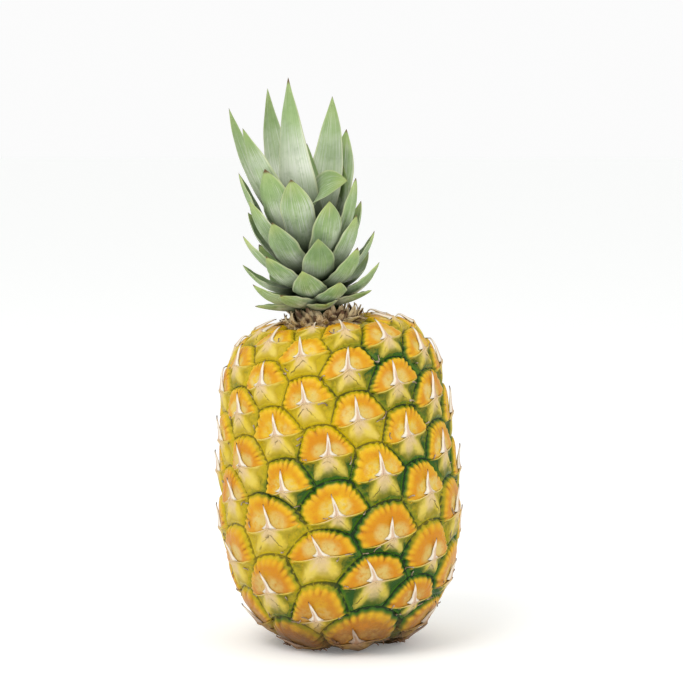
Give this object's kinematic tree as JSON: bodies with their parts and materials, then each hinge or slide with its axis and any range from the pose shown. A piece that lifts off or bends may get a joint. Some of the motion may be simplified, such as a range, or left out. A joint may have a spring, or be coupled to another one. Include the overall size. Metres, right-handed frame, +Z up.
{
  "type": "pineapple",
  "caption": "Whole ripe pineapple standing upright: golden fruit with spiralling eyes, dry bract spines and green grooves, and a grey-green leafy crown that leans a little.",
  "frame": {"origin": "centre of the cut stalk's flat end, in the plane that the fruit stands on", "axes": "+Z up along the fruit's height, -Y its front, +X to the right as seen from the front"},
  "size_m": [0.1313, 0.1298, 0.292],
  "materials": {
    "rind": "waxy rind, satin: orange-yellow eyes between green grooves",
    "cut_stalk": "dry fibrous cut end, matte",
    "dry_bracts": "withered, matte brown",
    "leaf": "thick fibrous leaf with a pale bloom, low sheen"
  },
  "bodies": {
    "root": {"fruit": "rind", "stalk": "cut_stalk", "neck_bracts": "dry_bracts", "crown": "leaf"}
  },
  "joints": []
}
